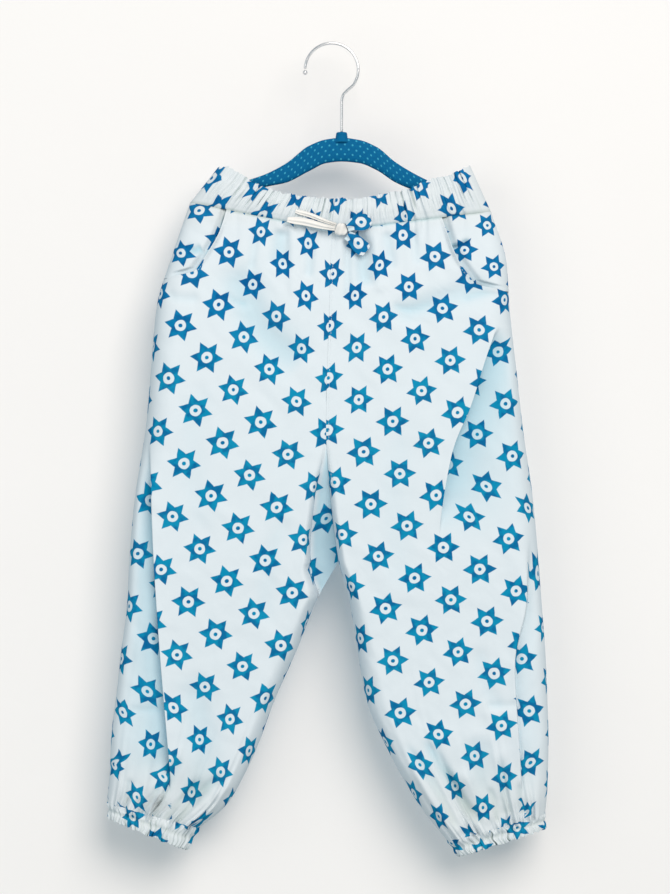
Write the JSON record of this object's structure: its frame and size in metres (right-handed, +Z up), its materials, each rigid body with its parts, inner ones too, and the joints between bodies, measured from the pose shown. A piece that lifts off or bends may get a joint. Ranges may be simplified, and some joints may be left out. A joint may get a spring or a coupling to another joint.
{
  "type": "cotton trousers on a hanger",
  "caption": "Child's loose cotton trousers with a star print, gathered waist and cuffs, slanted pockets and a small tie bow, hung on a shaped hanger with a wire hook.",
  "frame": {"origin": "inside of the hook's crown, where the hanger hangs", "axes": "+Z up, the front of the trousers faces -Y, the wearer's left is +X"},
  "size_m": [0.3997, 0.0636, 0.736],
  "materials": {
    "cotton_print": "thin plain-weave cotton, white with a blue star print, matt",
    "hanger_flock": "teal blue flocked plastic, matt, with small pale dots",
    "hook_wire": "plated steel wire"
  },
  "bodies": {
    "root": {"leg_front_right": "cotton_print", "leg_front_left": "cotton_print", "leg_back_right": "cotton_print", "leg_back_left": "cotton_print", "hip_facing_right": "cotton_print", "hip_facing_left": "cotton_print", "waistband_front": "cotton_print", "waistband_back": "cotton_print", "cuff_right": "cotton_print", "cuff_left": "cotton_print", "bow_knot": "cotton_print", "bow_loop_right": "cotton_print", "bow_loop_left": "cotton_print", "bow_end_right": "cotton_print", "bow_end_left": "cotton_print", "hanger_arms": "hanger_flock", "hanger_hook": "hook_wire", "hook_tip": "hook_wire"}
  },
  "joints": []
}
